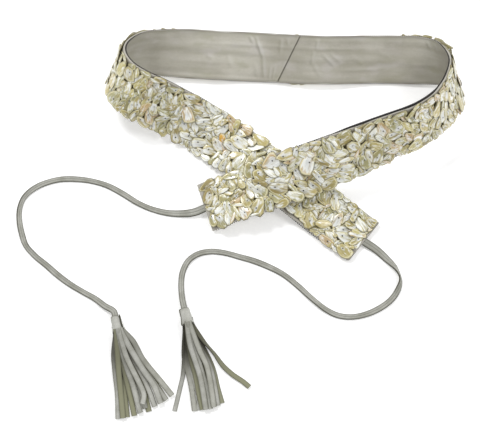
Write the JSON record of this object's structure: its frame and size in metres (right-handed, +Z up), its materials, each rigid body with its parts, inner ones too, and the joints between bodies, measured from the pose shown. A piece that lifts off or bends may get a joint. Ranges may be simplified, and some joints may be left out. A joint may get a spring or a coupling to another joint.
{
  "type": "shell-covered leather sash belt",
  "caption": "Leather sash belt with a field of shell chips, lying as a crossed loop, with a flat tie and a tassel at each end.",
  "frame": {"origin": "on the surface that the belt lies on, under the middle of the bounding box of the band without its ties and tassels", "axes": "+Z up, +X to the right along the back of the loop, +Y from the crossed ends towards the back of the loop"},
  "size_m": [0.4512, 0.407, 0.0782],
  "materials": {
    "shell": "glossy pearly shell chips in ivory, champagne and olive tan on grey suede",
    "lining": "smooth matt grey-beige leather with soft creases",
    "lace": "matt grey suede lace with a darker reverse"
  },
  "bodies": {
    "root": {"shell_band": "shell", "lining_left": "lining", "lining_right": "lining", "tie_left": "lace", "tie_right": "lace", "tassel_left": "lace", "tassel_right": "lace"}
  },
  "joints": []
}
